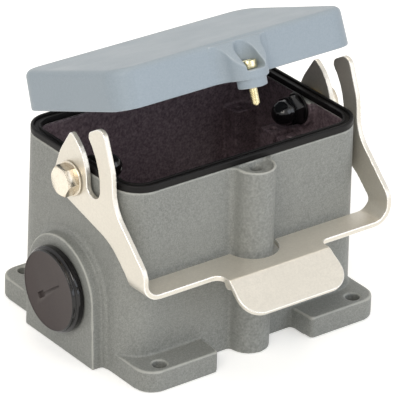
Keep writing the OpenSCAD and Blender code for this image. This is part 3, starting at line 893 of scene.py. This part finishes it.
def broken_edges(node: str, edge: Edge) -> Piece:
    """Gives a frame node's copy fine bevels along its edges.

    Args:
        node: The frame node's name.
        edge: How far the edges are broken.

    Returns:
        The new object, named for the node.
    """
    mesh = merged_copy(node)
    shape = bmesh.new()
    shape.from_mesh(mesh)
    bmesh.ops.dissolve_limit(
        shape, angle_limit=FLAT, verts=shape.verts, edges=shape.edges, delimit={"NORMAL"}
    )
    shape.to_mesh(mesh)
    shape.free()
    piece = plain_object(f"{node}_piece", mesh)
    bevel = piece.modifiers.new("edges", "BEVEL")
    bevel.width = edge.value
    bevel.segments = 2
    bevel.limit_method = "ANGLE"
    bevel.angle_limit = BEVELLED
    bevel.use_clamp_overlap = True
    piece.data = evaluated(piece)
    # The edge mask is where the finishes paint highlights.
    write_mask(piece.data, "edge", sharpness(piece.data))
    piece.data.shade_smooth()
    piece.data.set_sharp_from_angle(angle=CREASED)
    return piece


def sharpness(mesh: Mesh) -> np.ndarray:
    """How sharply a bevelled mesh bends outwards at each point, 0 to 1.

    Args:
        mesh: The mesh, whose flat faces meet in narrow bevels.

    Returns:
        One number for each point.
    """
    shape = bmesh.new()
    shape.from_mesh(mesh)
    bend = np.zeros(len(shape.verts))
    for edge in shape.edges:
        if len(edge.link_faces) == 2 and edge.is_convex and edge.calc_length() > 0:
            angle = edge.calc_face_angle(0.0)
            for vert in edge.verts:
                bend[vert.index] = max(bend[vert.index], angle)
    shape.free()
    return np.clip((bend - BEND_FROM) / BEND_OVER, 0, 1)


def seat(piece: Piece, node: str, finish: Material) -> None:
    """Dresses a piece and puts it in a frame node's stead.

    Args:
        piece: The piece, already in its place.
        node: The frame node that it stands for.
        finish: Its material.
    """
    piece.data.materials.clear()
    piece.data.materials.append(finish)
    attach(piece, body_of(node))
    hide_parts(node)
    piece.data.calc_loop_triangles()
    LOG.info("%s: %d triangles, for %s", piece.name, len(piece.data.loop_triangles), node)


def body_of(node: str) -> str:
    """The name of the body that a frame node rides on."""
    return frame["nodes"][node]["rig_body"]


# ------------------------------------------------------------- geometry nodes


class SweepTree(GroupSheet):
    """A Geometry Nodes tree that ends in Realize Instances and Set Material."""

    def __init__(self, name: str) -> None:
        """Makes the empty tree with its material input."""
        super().__init__(name, "GeometryNodeTree")
        self.take("Geometry", kind="Geometry")
        self.material = self.take("Material", kind="Material")

    def close(self, shape: Socket) -> None:
        """Ends the tree in plain, dressed and smooth shaded mesh."""
        plain = self.add("GeometryNodeRealizeInstances", {0: shape}).outputs[0]
        smooth = self.add("GeometryNodeSetShadeSmooth", {0: plain}).outputs[0]
        dressed = self.add("GeometryNodeSetMaterial", {0: smooth, "Material": self.material})
        self.give("Geometry", dressed.outputs[0], "Geometry")

    def make(self, name: str, finish: Material, sizes: Mapping[str, float | int]) -> Piece:
        """Runs the tree once.

        Args:
            name: The piece's name.
            finish: Its material.
            sizes: A value for each named input.

        Returns:
            The piece as a plain mesh object.
        """
        piece = plain_object(name, bpy.data.meshes.new(f"{name}_seed"))
        modifier = piece.modifiers.new("sweep", "NODES")
        modifier.node_group = self.tree
        modifier[self.ids["Material"]] = finish
        for key, size in sizes.items():
            modifier[self.ids[key]] = size
        piece.data = evaluated(piece)
        return piece


def seal_tree() -> SweepTree:
    """A beaded strip swept round a rectangle with rounded corners.

    Returns:
        The tree, with the strip's sizes as its inputs.
    """
    tree = SweepTree("beaded_seal")
    half_length, half_depth, corner, low, width, height, bead_width, bead_height, inner_width = (
        tree.take(name)
        for name in (
            "Half length", "Half depth", "Corner", "Low", "Width", "Height",
            "Bead width", "Bead height", "Inner bead width",
        )
    )
    steps = tree.take("Corner steps", 14, "Int")

    def rectangle(wide: Value, high: Value, count: Value, round_off: Value) -> Socket:
        """A rectangle with rounded corners."""
        sides = {"Width": wide, "Height": high}
        sharp = tree.add("GeometryNodeCurvePrimitiveQuadrilateral", sides, mode="RECTANGLE")
        fillet = {"Curve": sharp.outputs[0], "Count": count, "Radius": round_off}
        return tree.add("GeometryNodeFilletCurve", fillet, mode="POLY").outputs[0]

    def ring(inset: Socket, level: Socket) -> Socket:
        """The path that lies inset from the outline at a level."""
        length = tree.math("MULTIPLY", tree.math("SUBTRACT", half_length, inset), 2.0)
        depth = tree.math("MULTIPLY", tree.math("SUBTRACT", half_depth, inset), 2.0)
        bent = rectangle(length, depth, steps, tree.math("SUBTRACT", corner, inset))
        upright = tree.add("GeometryNodeSetCurveNormal", {"Curve": bent}, mode="Z_UP").outputs[0]
        place = tree.add("ShaderNodeCombineXYZ", {2: level}).outputs[0]
        return tree.add("GeometryNodeTransform", {0: upright, "Translation": place}).outputs[0]

    def strip(path: Socket, wide: Value, high: Value, round_off: Value) -> Socket:
        """A strip of a rounded section along a path."""
        section = rectangle(wide, high, 4, round_off)
        swept = tree.add("GeometryNodeCurveToMesh", {"Curve": path, "Profile Curve": section})
        return swept.outputs[0]

    half_width = tree.math("MULTIPLY", width, 0.5)
    band_level = tree.math("MULTIPLY_ADD", height, 0.5, low)
    band = strip(ring(half_width, band_level), width, height, 0.45 * MM)
    top = tree.math("ADD", low, height)
    half_bead = tree.math("MULTIPLY", bead_width, 0.5)
    bead_high = tree.math("MULTIPLY", bead_height, 2.0)
    bead_soft = tree.math("MULTIPLY", bead_width, 0.42)
    bead = strip(ring(half_bead, top), bead_width, bead_high, bead_soft)
    inner_place = tree.math("SUBTRACT", width, tree.math("MULTIPLY", inner_width, 0.5))
    inner_soft = tree.math("MULTIPLY", inner_width, 0.38)
    inner = strip(ring(inner_place, top), inner_width, bead_height, inner_soft)
    join = tree.add("GeometryNodeJoinGeometry")
    for part in (band, bead, inner):
        tree.tree.links.new(part, join.inputs[0])
    tree.close(join.outputs[0])
    return tree


def thread_tree() -> SweepTree:
    """A screw thread's ridge wound about an axis.

    Returns:
        The tree, with the thread's sizes, place and turn as its inputs.
    """
    tree = SweepTree("thread_ridge")
    radius, pitch, length, ridge = (
        tree.take(name) for name in ("Radius", "Pitch", "Length", "Ridge")
    )
    place = tree.take("Place", kind="Vector")
    turn = tree.take("Turn", kind="Vector")
    spiral = tree.add(
        "GeometryNodeCurveSpiral",
        {
            "Resolution": 40,
            "Rotations": tree.math("DIVIDE", length, pitch),
            "Start Radius": radius,
            "End Radius": radius,
            "Height": length,
        },
    ).outputs[0]
    section = tree.add("GeometryNodeCurvePrimitiveCircle", {"Resolution": 6, "Radius": ridge})
    wound = tree.add(
        "GeometryNodeCurveToMesh",
        {"Curve": spiral, "Profile Curve": section.outputs[0], "Fill Caps": True},
    ).outputs[0]
    move = {0: wound, "Translation": place, "Rotation": turn}
    tree.close(tree.add("GeometryNodeTransform", move).outputs[0])
    return tree


def wind_thread(
    name: str, node: str, finish: Material, sizes: Mapping[str, Value]
) -> None:
    """Winds a thread that rides with the frame node it is cut in.

    Args:
        name: The piece's name.
        node: The frame node that carries it.
        finish: Its material.
        sizes: A value for each input of the thread's tree.
    """
    thread = thread_tree().make(name, finish, sizes)
    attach(thread, body_of(node))
    LOG.info("%s: wound for %s", name, node)


# --------------------------------------------------------------- sub-assemblies


@dataclass
class Casting:
    """The housing casting, with its dark inside and the thread of the open entry.

    Attributes:
        half_length: Half the outer length at the rim.
        half_depth: Half the outer depth at the rim.
        height: Height of the rim.
        corner: Outer corner radius of the rim.
        wall: Thickness of the walls.
        floor: Thickness of the floor.
        end_draft: How much the length grows on each side down to the base.
        side_draft: How much the depth grows on each side down to the base.
        entry_radius: Radius of the tapped entry.
        entry_face: Where the entry's pad ends along X.
        thread_length: Length of the entry's thread.
        thread_pitch: Pitch of the entry's thread.
        post_rows: Y of the insert screw posts that run down to the floor, clear of the entries.
        post_half: Half the width of a post below its head.
        post_face: Where a post's face stands along X.
        post_top: Where a post's root runs into its head.
        post_root: Where along X a post's root ends in the end wall.
        column_half: Half the width of the screw column on the front.
        skin: How the casting is rounded.
    """

    half_length: float = 66 * MM
    half_depth: float = 43.15 * MM
    height: float = 91.7 * MM
    corner: float = 13.6 * MM
    wall: float = 5 * MM
    floor: float = 4.5 * MM
    end_draft: float = 0.85 * MM
    side_draft: float = 1.75 * MM
    entry_radius: float = 15.2 * MM
    entry_face: float = 73 * MM
    thread_length: float = 10 * MM
    thread_pitch: float = 1.5 * MM
    post_rows: tuple[float, ...] = (-33 * MM, 33 * MM)
    post_half: float = 4.2 * MM
    post_face: float = 48.2 * MM
    post_top: float = 68 * MM
    post_root: float = 62 * MM
    column_half: float = 13 * MM
    skin: SoftSkin = field(default_factory=lambda: SoftSkin(0.56 * MM, 4, 190_000, 0.13 * MM))

    def build(self, finishes: Finishes) -> None:
        """Builds the casting and dresses it.

        Args:
            finishes: The materials.
        """
        piece = self.skin.even("housing", add=self.post_roots())
        points = points_of(piece.data)
        write_mask(piece.data, "inside", self.inside(points))
        write_mask(piece.data, "coarse", self.coarse(points))
        seat(self.skin.thin(piece), "housing", finishes.housing)
        wind_thread(
            "right_entry_thread",
            "housing",
            finishes.housing,
            {
                "Radius": self.entry_radius + 0.1 * MM,
                "Pitch": self.thread_pitch,
                "Length": self.thread_length,
                "Ridge": 0.42 * MM,
                "Place": (self.entry_face - 1.2 * MM - self.thread_length, *ENTRY),
                "Turn": (0.0, math.pi / 2, 0.0),
            },
        )

    def post_roots(self) -> list[Mesh]:
        """The lower parts of the outer insert screw posts, which run down to the floor."""
        blocks = []
        for side in Side:
            face, root = side.value * self.post_face, side.value * self.post_root
            for centre in self.post_rows:
                low, high = centre - self.post_half, centre + self.post_half
                corners = ((face, low), (root, low), (root, high), (face, high))
                outline = [Vector((*corner, self.floor / 2)) for corner in corners]
                blocks.append(prism(outline, Vector((0, 0, self.post_top - self.floor / 2))))
        return blocks

    def coarse(self, points: np.ndarray) -> np.ndarray:
        """Marks the screw column's face, where the grain is coarser, 0 to 1."""
        aside = np.abs(points[:, 0]) / self.column_half
        ahead = (-points[:, 1] - self.half_depth - 2 * MM) / (2 * MM)
        return np.clip(2.5 - 2.5 * aside, 0, 1) * np.clip(ahead, 0, 1)

    def inside(self, points: np.ndarray) -> np.ndarray:
        """Tells which points lie within the middle of the walls.

        Args:
            points: Rows of X, Y and Z.

        Returns:
            1 for a point inside and 0 for one outside.
        """
        down = 1 - points[:, 2] / self.height
        radius = self.corner - self.wall / 2
        middle = np.stack(
            [
                self.half_length - self.wall / 2 + self.end_draft * down,
                self.half_depth - self.wall / 2 + self.side_draft * down,
            ],
            axis=1,
        )
        beyond = np.abs(points[:, :2]) - (middle - radius)
        distance = np.hypot(*np.maximum(beyond, 0).T) + np.minimum(beyond.max(axis=1), 0) - radius
        level = points[:, 2]
        within = (distance < 0) & (level > self.floor / 2) & (level < self.height - 0.3 * MM)
        return within.astype(float)


@dataclass
class RimSeal:
    """The beaded rubber seal on the rim.

    Attributes:
        casting: The casting whose rim it lies on.
        height: Height of its flat band.
        bead_width: Width of its outer bead.
        bead_height: Height of its outer bead above the band.
        inner_width: Width of its inner bead.
    """

    casting: Casting
    height: float = 2.2 * MM
    bead_width: float = 1.7 * MM
    bead_height: float = 1.1 * MM
    inner_width: float = 1.3 * MM

    def build(self, finishes: Finishes) -> None:
        """Sweeps the seal round the rim and dresses it.

        Args:
            finishes: The materials.
        """
        piece = seal_tree().make(
            "rim_seal_strip",
            finishes.seal,
            {
                "Half length": self.casting.half_length,
                "Half depth": self.casting.half_depth,
                "Corner": self.casting.corner,
                "Low": self.casting.height,
                "Width": self.casting.wall,
                "Height": self.height,
                "Bead width": self.bead_width,
                "Bead height": self.bead_height,
                "Inner bead width": self.inner_width,
            },
        )
        seat(piece, "rim_seal", finishes.seal)


@dataclass
class Lid:
    """The cast lid with its captive screw and retaining ring.

    Attributes:
        opened: Angle at which the lid stands open, in degrees.
        screw_y: Y of the screw's axis on the shut lid.
        screw_tip: Height of the screw's tip on the shut lid.
        thread_length: Length of the screw's thread.
        thread_radius: Radius of the thread's root.
        thread_pitch: Pitch of the thread.
        wall_y: Y of the shut lid's front wall.
        boss_top: Height at which the screw boss leaves the lid's top edge.
        boss_slope: Fall of the boss from there, in degrees.
        boss_reach: How far in front of the wall the slope runs.
        skin: How the casting is rounded.
    """

    opened: float = 21.4
    screw_y: float = -46.55 * MM
    screw_tip: float = 82.8 * MM
    thread_length: float = 7 * MM
    thread_radius: float = 1.72 * MM
    thread_pitch: float = 0.7 * MM
    wall_y: float = -41.35 * MM
    boss_top: float = 112.6 * MM
    boss_slope: float = 45.0
    boss_reach: float = 14 * MM
    skin: SoftSkin = field(default_factory=lambda: SoftSkin(0.42 * MM, 5, 120_000, 0.1 * MM))

    def build(self, finishes: Finishes) -> None:
        """Builds the lid, its screw and the screw's ring, and dresses them.

        Args:
            finishes: The materials.
        """
        cast = self.skin.even("lid", cut=self.slope())
        seat(self.skin.thin(cast), "lid", finishes.lid)
        seat(broken_edges("lid_screw", Edge.CRISP), "lid_screw", finishes.screw)
        ring = broken_edges("lid_screw_ring", Edge.CRISP)
        seat(ring, "lid_screw_ring", finishes.pin)
        wind_thread(
            "lid_screw_thread",
            "lid_screw",
            finishes.screw,
            {
                "Radius": self.thread_radius,
                "Pitch": self.thread_pitch,
                "Length": self.thread_length,
                "Ridge": 0.2 * MM,
                "Place": tuple(self.swung(Vector((0, self.screw_y, self.screw_tip + 0.9 * MM)))),
                "Turn": (math.radians(-self.opened), 0.0, 0.0),
            },
        )

    def slope(self) -> Mesh:
        """The wedge over the screw boss, which falls from the lid's edge to the driver channel.

        Returns:
            The closed wedge, where the open lid stands.
        """
        fall = math.tan(math.radians(self.boss_slope))
        ahead = self.wall_y - self.boss_reach
        low = self.boss_top - fall * self.boss_reach
        profile = [
            (self.wall_y, self.boss_top),
            (ahead, low),
            (ahead, self.boss_top + self.boss_reach),
            (self.wall_y, self.boss_top + self.boss_reach),
        ]
        outline = [self.swung(Vector((-2 * self.boss_reach, y, z))) for y, z in profile]
        return prism(outline, Vector((4 * self.boss_reach, 0, 0)))

    def swung(self, point: Vector) -> Vector:
        """Takes a point of the shut lid to where the open lid holds it."""
        axis = Vector((0, *HINGE))
        return axis + Matrix.Rotation(math.radians(-self.opened), 3, "X") @ (point - axis)


@dataclass
class Hinge:
    """The hinge pin and its two clips."""

    def build(self, finishes: Finishes) -> None:
        """Breaks the edges of the pin and clips and dresses them."""
        seat(broken_edges("hinge_pin", Edge.BROKEN), "hinge_pin", finishes.pin)
        for side in Side:
            node = f"{side.prefix}_pin_clip"
            seat(broken_edges(node, Edge.CRISP), node, finishes.pin)


@dataclass
class Lever:
    """The bent locking lever and the sealed pivots that carry it.

    Attributes:
        skin: How the sheet's cut edges are rounded.
        bolt_turn: How far the bolts stand turned about their axis, in degrees.
    """

    skin: SoftSkin = field(default_factory=lambda: SoftSkin(0.3 * MM, 3, 90_000, 0.09 * MM))
    bolt_turn: float = 30.0

    def build(self, finishes: Finishes) -> None:
        """Builds the lever and every piece of its pivots, and dresses them.

        Args:
            finishes: The materials.
        """
        sheet = self.skin.thin(self.skin.even("locking_lever"))
        seat(sheet, "locking_lever", finishes.lever)
        pieces = {
            "pivot_bolt": (Edge.BROKEN, finishes.bolt, "bolt_zinc"),
            "pivot_washer": (Edge.MOULDED, finishes.bolt, "bolt_zinc"),
            "pivot_bush": (Edge.CRISP, finishes.brass, "bush_brass"),
            "cap_nut": (Edge.BROKEN, finishes.nut, "nut_black"),
            "sealing_washer": (Edge.BROKEN, finishes.seal, "seal_rubber"),
        }
        for side in Side:
            for kind, (edge, finish, slot) in pieces.items():
                node = f"{side.prefix}_{kind}"
                piece = broken_edges(node, edge)
                if kind == "pivot_bolt":
                    piece.data.transform(self.turned())
                seat(piece, node, finish)

    def turned(self) -> Matrix:
        """The turn that a bolt takes about the pivots' axis as it is tightened."""
        axis = Matrix.Translation((0, *PIVOT))
        return axis @ Matrix.Rotation(math.radians(self.bolt_turn), 4, "X") @ axis.inverted()


@dataclass
class Plug:
    """The blanking plug in the left entry and the flat seal behind its head."""

    def build(self, finishes: Finishes) -> None:
        """Breaks the edges of the plug and its seal and dresses them."""
        plug = broken_edges("blanking_plug", Edge.BROKEN)
        seat(plug, "blanking_plug", finishes.plug)
        seat(broken_edges("plug_seal", Edge.CRISP), "plug_seal", finishes.seal)


# ----------------------------------------------------------------------- stage


@dataclass
class Stage:
    """The pale floor, the soft lamps and the camera.

    Attributes:
        target: The point that the camera and the lamps look at.
        position: Where the camera stands.
        right: The camera's right in the frame.
        up: The camera's up in the frame.
        lens: Focal length for a sensor 36 mm wide.
    """

    target: Vector = field(default_factory=lambda: Vector((5.52, 0.0, 52.33)) * MM)
    position: Vector = field(
        default_factory=lambda: Vector((-868.36, -1122.17, 782.60)) * MM
    )
    right: Vector = field(default_factory=lambda: Vector((0.79780, -0.60221, 0.02930)))
    up: Vector = field(default_factory=lambda: Vector((0.25450, 0.38041, 0.88911)))
    lens: float = 313.46

    def build(self) -> None:
        """Sets the floor, the lamps, the surroundings and the camera."""
        self.floor()
        self.lamp("key_lamp", Vector((-1.5, -1.2, 1.5)), 1.1, 21.0, srgb(255, 249, 240))
        self.lamp("fill_lamp", Vector((0.9, -1.9, 0.9)), 1.6, 12.0, srgb(232, 241, 255))
        self.lamp("top_lamp", Vector((0.3, 0.3, 2.0)), 1.2, 10.0, srgb(255, 240, 216))
        self.surroundings()
        self.camera()
        bpy.context.scene.view_settings.view_transform = "Standard"

    def floor(self) -> None:
        """Lays the pale floor just under the feet."""
        mesh = bpy.data.meshes.new("floor")
        shape = bmesh.new()
        bmesh.ops.create_circle(shape, cap_ends=True, segments=64, radius=6.0)
        bmesh.ops.translate(shape, verts=shape.verts, vec=(0, 0, -0.2 * MM))
        shape.to_mesh(mesh)
        shape.free()
        material = bpy.data.materials.new("pale_floor")
        material.use_nodes = True
        sheet = NodeSheet(material.node_tree)
        shader = sheet.tree.nodes["Principled BSDF"]
        cloud = sheet.noise(sheet.place(), 8.0, 2.0)
        pale = sheet.blend(cloud, srgb(240, 240, 238), srgb(244, 244, 243))
        sheet.tree.links.new(pale, shader.inputs["Base Color"])
        shader.inputs["Roughness"].default_value = 0.9
        shader.inputs["Specular IOR Level"].default_value = 0.0
        shader.inputs["Emission Color"].default_value = (1, 1, 1, 1)
        rays = sheet.add("ShaderNodeLightPath").outputs
        seen = sheet.math("MAXIMUM", rays["Is Camera Ray"], rays["Is Transmission Ray"])
        seen = sheet.math("MAXIMUM", seen, rays["Is Glossy Ray"])
        sheet.tree.links.new(sheet.math("MULTIPLY", seen, 0.4), shader.inputs["Emission Strength"])
        mesh.materials.append(material)
        plain_object("floor", mesh)
        LOG.info("floor: laid")

    def lamp(self, name: str, place: Vector, size: float, power: float, colour: Colour) -> None:
        """Hangs one soft lamp that faces the object.

        Args:
            name: The lamp's name.
            place: Where it hangs, in metres.
            size: The side of its square face, in metres.
            power: Its power, in watts.
            colour: Its colour.
        """
        light = bpy.data.lights.new(name, "AREA")
        light.size = size
        light.energy = power
        light.color = colour[:3]
        holder = bpy.data.objects.new(name, light)
        holder.location = place
        holder.rotation_euler = (place - self.target).to_track_quat("Z", "Y").to_euler()
        bpy.context.scene.collection.objects.link(holder)

    def surroundings(self) -> None:
        """Makes the room pale, and white where it is seen or mirrored."""
        world = bpy.data.worlds.new("pale_room")
        world.use_nodes = True
        bpy.context.scene.world = world
        sheet = NodeSheet(world.node_tree)
        background = sheet.tree.nodes["Background"]
        rays = sheet.add("ShaderNodeLightPath").outputs
        seen = sheet.math("MAXIMUM", rays["Is Camera Ray"], rays["Is Transmission Ray"])
        strength = sheet.mix(rays["Is Glossy Ray"], sheet.mix(seen, 0.55, 1.0), 0.9)
        sheet.tree.links.new(strength, background.inputs["Strength"])
        background.inputs["Color"].default_value = (1, 1, 1, 1)

    def camera(self) -> None:
        """Stands the camera at its long lens viewpoint."""
        lens = bpy.data.cameras.new("camera")
        lens.lens = self.lens
        lens.sensor_width = 36
        lens.clip_start = 0.05
        back = self.right.cross(self.up)
        holder = bpy.data.objects.new("camera", lens)
        turn = Matrix((self.right, self.up, back)).transposed()
        holder.matrix_world = Matrix.Translation(self.position) @ turn.to_4x4()
        bpy.context.scene.collection.objects.link(holder)
        bpy.context.scene.camera = holder


def main() -> None:
    """Builds every sub-assembly in order, then the stage."""
    logging.basicConfig(level=logging.INFO, format="%(name)s %(message)s")
    finishes = Finishes(Effects())
    casting = Casting()
    assemblies: Sequence[Casting | RimSeal | Lid | Hinge | Lever | Plug] = (
        casting,
        RimSeal(casting),
        Lid(),
        Hinge(),
        Lever(),
        Plug(),
    )
    for assembly in assemblies:
        assembly.build(finishes)
        LOG.info("%s done", type(assembly).__name__)
    Stage().build()


if __name__ == "__main__":
    main()
